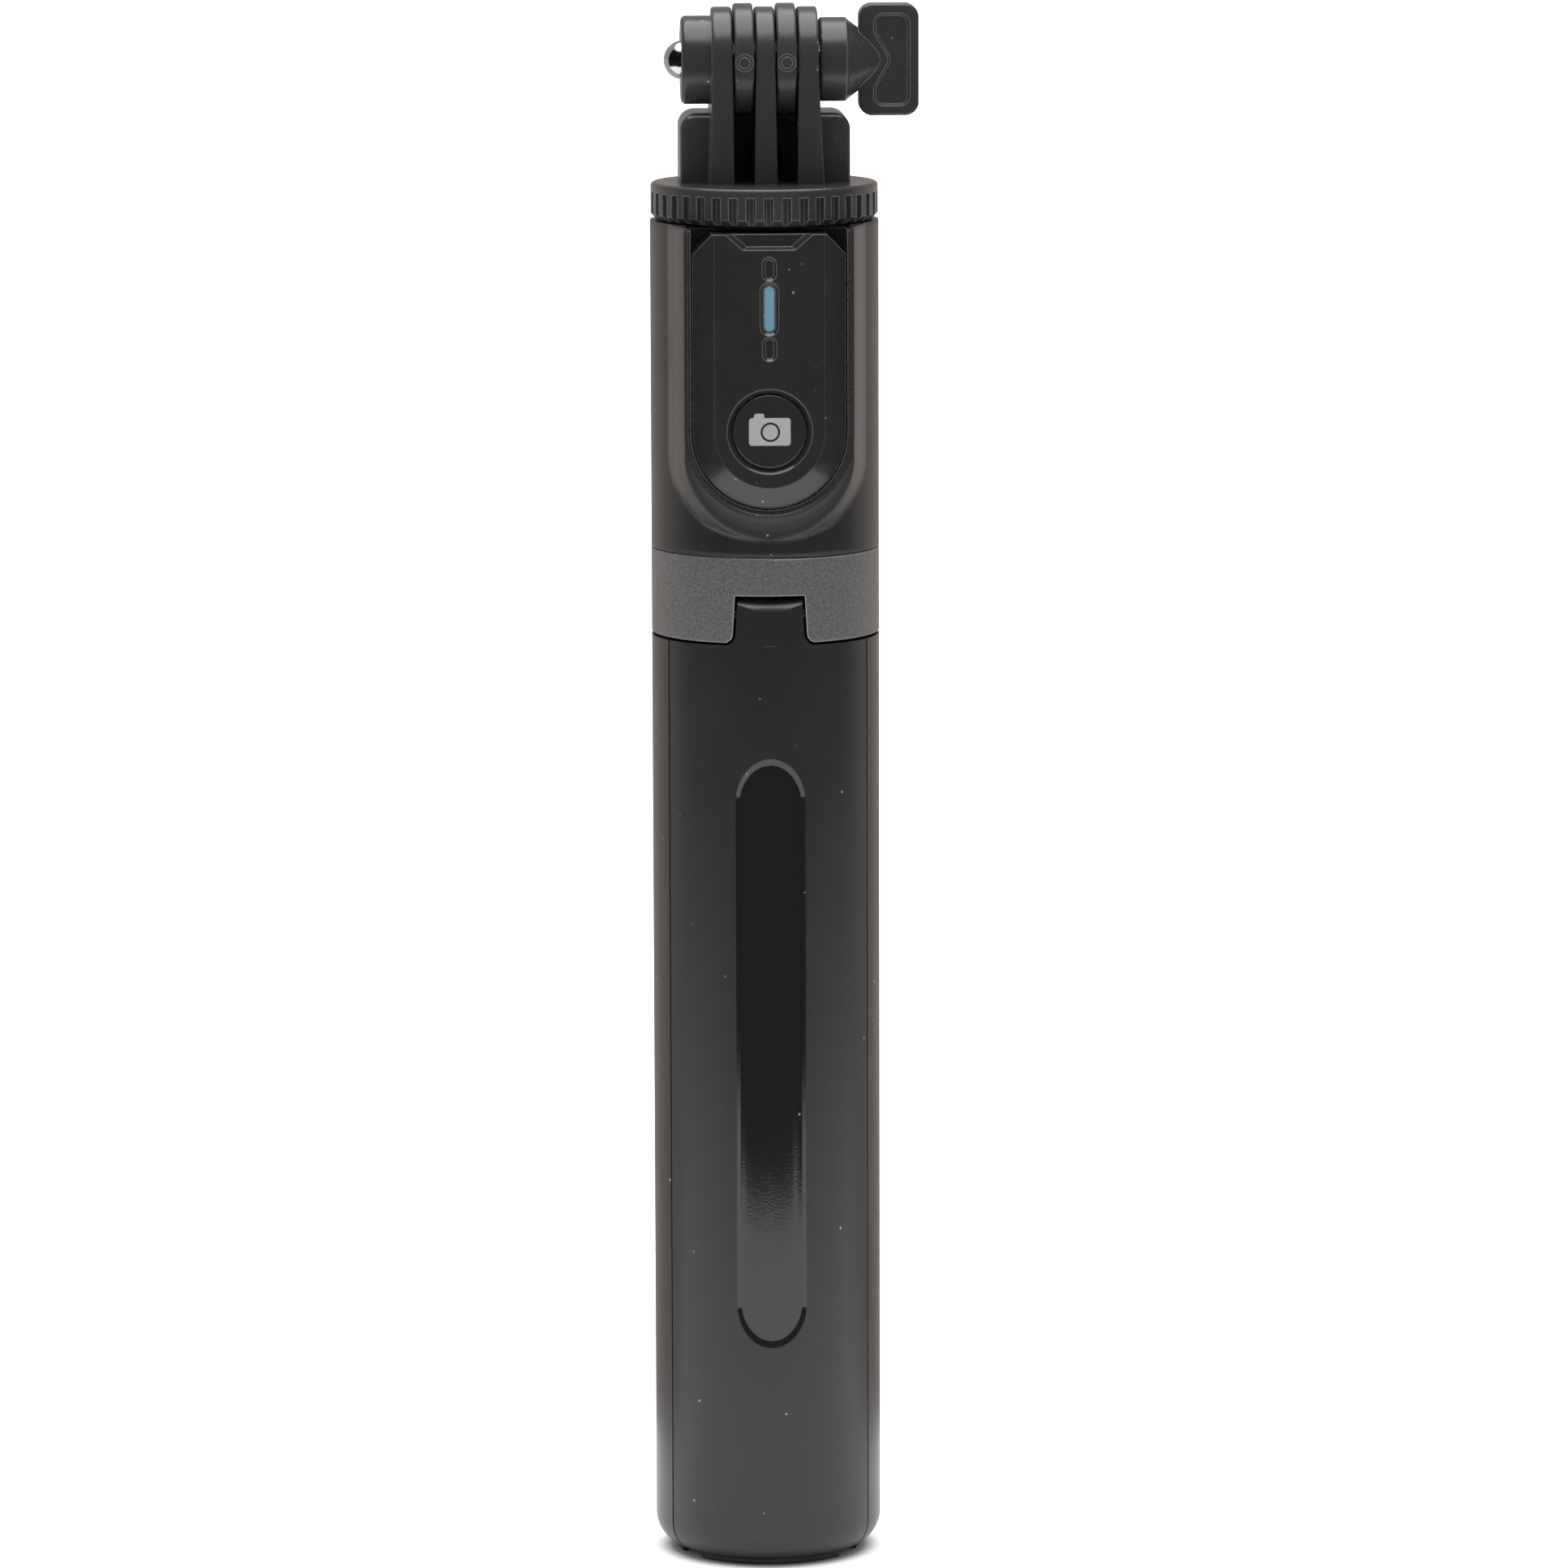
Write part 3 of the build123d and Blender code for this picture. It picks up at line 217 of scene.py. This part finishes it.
def moulded(name, colour, rough, grain=2600, depth=2.5e-5, edge=1.5e-4, speckle=0.0, edge_highlight=0.0):
    """Moulded plastic: fine spark texture, slow tone changes and a softened edge.

    speckle is how much dust shows, and the last argument is the grey of a highlight painted along its sharp
    edges."""
    shader = Shader(name)
    slow = shader.noise(55, 3.0)
    fine = shader.noise(grain, 3.0, 0.6)
    base = shader.blend(slow, tone(colour, 0.82), tone(colour, 1.18))
    if speckle:
        base = dust(shader, base, speckle)
    # paints a grey highlight along sharp edges, broken up by the fine grain
    if edge_highlight:
        patchy = shader.span(fine, 0.2, 0.8, 0.6, 1.0)
        highlit_edges = shader.times(shader.rim(EDGE_HIGHLIGHT_WIDTH), patchy)
        base = shader.blend(highlit_edges, base, (edge_highlight, edge_highlight, edge_highlight))
    shader.colour(base)
    shader.rough(shader.math("ADD", shader.span(slow, 0.3, 0.7, rough - 0.03, rough + 0.03),
                             shader.span(fine, 0.3, 0.7, -0.03, 0.03)))
    shader.bump((fine, depth), edge=edge)
    return shader


def finish(shader, *names):
    for name in names:
        held = nodes[name].data.materials
        held.clear()
        held.append(shader.mat)


def by_slot(slot):
    return [part["node"] for part in frame["record"]["subparts"] if part["material_slot"] == slot]


SATIN = (0.0125, 0.0125, 0.0135)

# the shell's wide edge runs the sections of its raised front into one soft slope
body = moulded("body_satin", SATIN, 0.36, grain=3200, depth=1.2e-5, edge=1.0e-3,
               speckle=0.35, edge_highlight=0.05)
finish(body, *by_slot("satin_black"))
head = moulded("head_moulded", (0.026, 0.026, 0.0275), 0.29, grain=1500, depth=2.2e-5, edge=2e-4,
               speckle=0.6, edge_highlight=0.15)
head.set(Specular_IOR_Level=0.36)
finish(head, *by_slot("moulded_black"))


# where the finger groove's floor lies on the leg: inside this radius, half-width and height span
GROOVE_R = 16.205 * MM
GROOVE_HALF = 5.55 * MM
GROOVE_LOW, GROOVE_HIGH = 32.1 * MM, 117.9 * MM
GROOVE_BLACK = (0.0105, 0.0105, 0.0112)


def leg_finish(name, turn_z):
    """Satin leg whose finger groove is polished."""
    shader = Shader(name)
    split = shader.node("ShaderNodeSeparateXYZ")
    shader.link(shader.stretch((1, 1, 1), turn_z), split.inputs[0])
    across, depth, up = split.outputs
    radius = shader.math("SQRT", shader.math("ADD", shader.times(across, across), shader.times(depth, depth)))
    sunk = shader.span(radius, GROOVE_R + 0.01 * MM, GROOVE_R - 0.01 * MM)
    near = shader.span(shader.math("ABSOLUTE", across), GROOVE_HALF + 0.05 * MM, GROOVE_HALF - 0.05 * MM)
    above = shader.span(up, GROOVE_LOW - 0.1 * MM, GROOVE_LOW + 0.1 * MM)
    below = shader.span(up, GROOVE_HIGH + 0.1 * MM, GROOVE_HIGH - 0.1 * MM)
    groove = shader.times(shader.times(sunk, near), shader.times(above, below))
    slow = shader.noise(55, 3.0)
    satin = shader.blend(slow, tone(SATIN, 0.85), tone(SATIN, 1.15))
    shader.colour(dust(shader, shader.blend(groove, satin, GROOVE_BLACK), 0.6))
    matt = shader.times(shader.span(slow, 0.3, 0.7, 0.33, 0.37), shader.math("SUBTRACT", 1.0, groove))
    polished = shader.times(shader.span(slow, 0.3, 0.7, 0.05, 0.07), groove)
    shader.rough(shader.math("ADD", matt, polished))
    shader.bump((shader.noise(3200, 3.0, 0.6), 0.6e-5), edge=1.5e-4)
    return shader


for leg, angle in (("front", 0), ("right", 120), ("left", 240)):
    finish(leg_finish(f"leg_{leg}_satin", -math.radians(angle)), f"leg_shell_{leg}")

ring = Shader("ring_metallic")
flake = ring.cells(3800)
ring.set(Metallic=0.35)
metal = ring.blend(ring.span(flake, 0.1, 0.6), (0.168, 0.165, 0.163), (0.092, 0.091, 0.091))
# pale grey painted along the ring's sharp edges as a highlight
ring.colour(ring.blend(ring.rim(2.5e-4), metal, (0.42, 0.42, 0.42)))
ring.rough(ring.span(ring.noise(1800, 2.0), 0.3, 0.7, 0.40, 0.50))
ring.bump((flake, 4e-6), (ring.noise(300, 2.0), 4e-6), edge=2.0e-4)
finish(ring, *by_slot("ring_grey"))

rubber = moulded("rubber", (0.025, 0.025, 0.025), 0.62, grain=1400, depth=6e-5)
finish(rubber, *by_slot("rubber_black"))

steel = Shader("steel")
steel.set(Metallic=1.0)
steel.colour(steel.blend(steel.noise(400, 3.0), (0.52, 0.52, 0.53), (0.66, 0.66, 0.66)))
steel.rough(steel.span(steel.noise(900, 3.0), 0.3, 0.7, 0.22, 0.34))
steel.bump((steel.noise(2500, 2.0), 1e-5), edge=1e-4)
finish(steel, *by_slot("steel"))
dark_steel = moulded("dark_steel", (0.03, 0.03, 0.031), 0.35, grain=1800, depth=1e-5, edge=8e-5)
dark_steel.set(Metallic=0.6)
finish(dark_steel, *by_slot("dark_steel"))

chrome = Shader("chrome")
chrome.set(Metallic=1.0)
chrome.colour(chrome.blend(chrome.noise(300, 2.0), (0.40, 0.40, 0.41), (0.50, 0.50, 0.51)))
chrome.rough(chrome.span(chrome.noise(600, 3.0), 0.3, 0.7, 0.05, 0.12))
chrome.bump((chrome.noise(900, 2.0), 4e-6), edge=2e-4)
finish(chrome, *by_slot("chrome"))

tube = Shader("tube_brushed")
tube.set(Metallic=1.0, Anisotropic=0.4)
lines = tube.noise(900, 3.0, 0.6, tube.stretch((1, 1, 0.03)))
tube.colour(tube.blend(lines, (0.46, 0.46, 0.47), (0.60, 0.60, 0.61)))
tube.rough(tube.span(lines, 0.3, 0.7, 0.24, 0.36))
tube.bump((lines, 8e-6), edge=1e-4)
finish(tube, *by_slot("tube_metal"))

gloss = Shader("gloss_front")
wave = gloss.noise(140, 2.0)
panel = gloss.blend(wave, (0.0155, 0.0155, 0.0165), (0.0195, 0.0195, 0.0205))
# pale grey painted along the front's sharp edges as a highlight; the specks are real dust
gloss.colour(gloss.blend(gloss.rim(2.2e-4), dust(gloss, panel, 0.35), (0.14, 0.14, 0.14)))
gloss.rough(gloss.span(gloss.noise(500, 3.0), 0.35, 0.65, 0.12, 0.18))
gloss.bump((wave, 1.5e-5), (gloss.noise(2400, 2.0), 2e-6), edge=2e-4)
finish(gloss, *by_slot("gloss_black"))

light_pipe = Shader("light_pipe")
light_pipe.set(Transmission_Weight=0.25, IOR=1.49)
cloud = light_pipe.noise(500, 2.0)
light_pipe.colour(light_pipe.blend(cloud, (0.11, 0.255, 0.34), (0.16, 0.33, 0.42)))
light_pipe.rough(light_pipe.span(cloud, 0.3, 0.7, 0.2, 0.3))
light_pipe.bump((cloud, 1e-5), edge=1e-4)
finish(light_pipe, *by_slot("led_blue"))

board = Shader("board_lacquer")
board.colour(board.blend(board.noise(900, 3.0), (0.02, 0.13, 0.055), (0.03, 0.19, 0.08)))
board.rough(board.span(board.noise(700, 2.0), 0.3, 0.7, 0.25, 0.4))
board.bump((board.noise(1200, 2.0), 2e-5))
finish(board, *by_slot("board_green"))

switch = Shader("switch_plate")
switch.set(Metallic=1.0)
switch.colour(switch.blend(switch.noise(800, 3.0), (0.48, 0.47, 0.43), (0.60, 0.59, 0.55)))
switch.rough(switch.span(switch.noise(900, 2.0), 0.3, 0.7, 0.25, 0.4))
switch.bump((switch.noise(1600, 2.0), 1e-5), edge=1e-4)
finish(switch, *by_slot("switch_metal"))


# ---- pieces made from curves ---------------------------------------------------------------
def solid_curve(name, outlines, closed, shader, turned=Matrix(), **settings):
    """Mesh piece from a curve with these point lists and settings."""
    curve = bpy.data.curves.new(name, "CURVE")
    for key, value in settings.items():
        setattr(curve, key, value)
    for outline in outlines:
        spline = curve.splines.new("POLY")
        spline.points.add(len(outline) - 1)
        for point, place in zip(spline.points, outline):
            point.co = (*place, 1)
        spline.use_cyclic_u = closed
    drawn = bpy.data.objects.new(name + "_curve", curve)
    scene.collection.objects.link(drawn)
    mesh = bpy.data.meshes.new_from_object(drawn.evaluated_get(bpy.context.evaluated_depsgraph_get()))
    bpy.data.objects.remove(drawn)
    mesh.transform(turned)
    mesh.materials.clear()
    mesh.materials.append(shader.mat)
    made = bpy.data.objects.new(name, mesh)
    scene.collection.objects.link(made)
    return made


def arc(centre, radius, start, end, steps):
    """Points round an arc, in millimetres on the drawing plane, angles in degrees."""
    angles = [math.radians(start + (end - start) * i / steps) for i in range(steps + 1)]
    return [(centre[0] + radius * math.cos(t), centre[1] + radius * math.sin(t)) for t in angles]


# camera pictogram on the shutter button: half-width, half-height and corner radius of its case
ICON_W, ICON_H, ICON_R = 2.93, 1.96, 0.45
HUMP_R = 0.2
HUMP_Y = ICON_H + 0.42
LENS = (0.08, -0.05)
LENS_RADII = (1.38, 1.08)
LENS_SIDES = 60
LENS_LAST = 360 - 360 / LENS_SIDES     # the closed outline draws the last side itself
PRINT_DEPTH = 2.0e-5
corner_x, corner_y = ICON_W - ICON_R, ICON_H - ICON_R
case = (
    arc((corner_x, -corner_y), ICON_R, -90, 0, 6)
    + arc((corner_x, corner_y), ICON_R, 0, 90, 6)
    + [(-0.75, ICON_H)]
    + arc((-1.0, HUMP_Y), HUMP_R, 0, 90, 4)
    + arc((-1.95, HUMP_Y), HUMP_R, 90, 180, 4)
    + [(-2.3, ICON_H)]
    + arc((-corner_x, corner_y), ICON_R, 90, 180, 6)
    + arc((-corner_x, -corner_y), ICON_R, 180, 270, 6)
)
icon = [case] + [arc(LENS, radius, 0, LENS_LAST, LENS_SIDES - 1) for radius in LENS_RADII]
ink = Shader("pale_print")
ink.colour(ink.blend(ink.noise(2500, 3.0), (0.23, 0.23, 0.235), (0.31, 0.31, 0.315)))
ink.rough(ink.span(ink.noise(1800, 2.0), 0.3, 0.7, 0.45, 0.6))
ink.bump((ink.noise(3000, 2.0), 4e-6))
button_low, button_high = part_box("shutter_button")
face = (0, button_low.y - PRINT_DEPTH / 2, (button_low.z + button_high.z) / 2)
shutter_print = solid_curve(
    "shutter_print", [[(x * MM, y * MM, 0) for x, y in outline] for outline in icon], True, ink,
    Matrix.Translation(face) @ Matrix.Rotation(math.pi / 2, 4, "X"),
    dimensions="2D", fill_mode="BOTH", extrude=PRINT_DEPTH / 2)
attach(shutter_print, "shutter_button")

# coil springs on the clamp's two guide rods
SPRING_TURNS = 12
TURN_STEPS = 24
WIRE = 0.22 * MM
COIL_R = 1.95 * MM
spring_low, spring_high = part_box("jaw_springs")
spring_y = (spring_low.y + spring_high.y) / 2


def helix(x):
    """Points of one spring about the upright axis at x."""
    steps = SPRING_TURNS * TURN_STEPS
    low, high = spring_low.z + WIRE, spring_high.z - WIRE
    turns = [2 * math.pi * i / TURN_STEPS for i in range(steps + 1)]
    return [(x + COIL_R * math.cos(turn), spring_y + COIL_R * math.sin(turn), low + (high - low) * i / steps)
            for i, turn in enumerate(turns)]


outer = COIL_R + WIRE
springs = solid_curve("jaw_coils", [helix(spring_low.x + outer), helix(spring_high.x - outer)], False, steel,
                      dimensions="3D", bevel_depth=WIRE, bevel_resolution=2)
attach(springs, "clamp")
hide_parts("jaw_springs")
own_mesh(springs)


# ---- floor, light and cards ------------------------------------------------------------
def stage_piece(name, points, faces, shader):
    """Stage piece from its corners."""
    mesh = bpy.data.meshes.new(name)
    mesh.from_pydata(points, [], faces)
    mesh.materials.append(shader.mat)
    made = bpy.data.objects.new(name, mesh)
    scene.collection.objects.link(made)
    return made


def seen_by(made, eye=False, gloss=False):
    """Limits a stage piece to what it is for."""
    made.visible_camera = eye
    made.visible_glossy = gloss
    made.visible_diffuse = False
    made.visible_shadow = False
    made.visible_transmission = False


def paint(name, dark, light, scale, **values):
    """Matt paint with a slow change of tone."""
    shader = Shader(name)
    shader.colour(shader.blend(shader.noise(scale, 2.0), dark, light))
    shader.set(**values)
    return shader


def around(radius, degrees, z):
    """Point at a distance from the object, by its angle from straight ahead."""
    angle = math.radians(degrees)
    return radius * math.sin(angle), -radius * math.cos(angle), z


def strip(first, second, count):
    """Faces between two rows of points, each row starting at its first index."""
    return [(first + i, first + i + 1, second + i + 1, second + i) for i in range(count - 1)]


ROOM = 9.0
paper = paint("pale_floor", (0.83, 0.85, 0.86), (0.86, 0.87, 0.88), 6, Specular_IOR_Level=0.1)
paper.rough(paper.span(paper.noise(300, 2.0), 0.3, 0.7, 0.85, 0.95))
stage_piece("floor", [(-ROOM, -ROOM, 0), (ROOM, -ROOM, 0), (ROOM, ROOM, 0), (-ROOM, ROOM, 0)],
            [(0, 1, 2, 3)], paper)

# white wall all round, for the eye only
WALL_R = ROOM * 0.98
WALL_TALL = 6.0
WALL_STEPS = 49
wall_paint = paint("pale_wall", (0.85, 0.85, 0.85), (0.9, 0.9, 0.9), 3,
                   Emission_Color=(1, 1, 1, 1), Emission_Strength=1.1, Roughness=1.0)
wall_angles = [360 * step / (WALL_STEPS - 1) for step in range(WALL_STEPS)]
wall = [around(WALL_R, t, z) for z in (0.0, WALL_TALL) for t in wall_angles]
seen_by(stage_piece("wall", wall, strip(0, WALL_STEPS, WALL_STEPS), wall_paint), eye=True)

# black card on the floor before the object and upright beyond it, for its reflections only
CARD_Z = 0.004
CARD_FAR = 2.2
CARD_TALL = 2.6
# how far out the black card starts, by angle from straight ahead
CARD_EDGE = {0: 0.262, 22: 0.266, 26: 0.30, 30: 0.268, 40: 0.275, 45: 0.32, 60: 0.36, 80: 0.38, 98: 0.42}
black = paint("black_card", (0.006, 0.006, 0.006), (0.01, 0.01, 0.01), 40,
              Specular_IOR_Level=0.0, Roughness=1.0)
front_angles = sorted({sign * angle for angle in CARD_EDGE for sign in (-1, 1)})
count = len(front_angles)
front = [around(CARD_EDGE[abs(t)], t, CARD_Z) for t in front_angles]
front += [around(CARD_FAR, t, z) for z in (CARD_Z, CARD_TALL) for t in front_angles]
front_faces = strip(0, count, count) + strip(count, 2 * count, count)
seen_by(stage_piece("card_front", front, front_faces, black), gloss=True)

# grey card on the floor beside and behind the object, for its reflections only
BACK_NEAR = 0.07
BACK_FAR = ROOM * 0.97
BACK_STEPS = 25
grey = paint("grey_card", (0.30, 0.275, 0.26), (0.33, 0.305, 0.29), 40,
             Specular_IOR_Level=0.0, Roughness=1.0)
last = max(CARD_EDGE)
back_angles = [last + (360 - 2 * last) * step / (BACK_STEPS - 1) for step in range(BACK_STEPS)]
back = [around(r, t, CARD_Z) for r in (BACK_NEAR, BACK_FAR) for t in back_angles]
seen_by(stage_piece("card_back", back, strip(0, BACK_STEPS, BACK_STEPS), grey), gloss=True)

world = bpy.data.worlds.new("studio")
world.use_nodes = True
world.node_tree.nodes["Background"].inputs["Color"].default_value = (1.0, 0.925, 0.87, 1)
world.node_tree.nodes["Background"].inputs["Strength"].default_value = 0.52
scene.world = world

# a sun shines straight down unless it is turned
overhead = bpy.data.lights.new("light_overhead", "SUN")
overhead.angle = math.radians(70)
overhead.energy = 5.3
overhead.color = (0.98, 0.99, 1.0)
scene.collection.objects.link(bpy.data.objects.new("light_overhead", overhead))
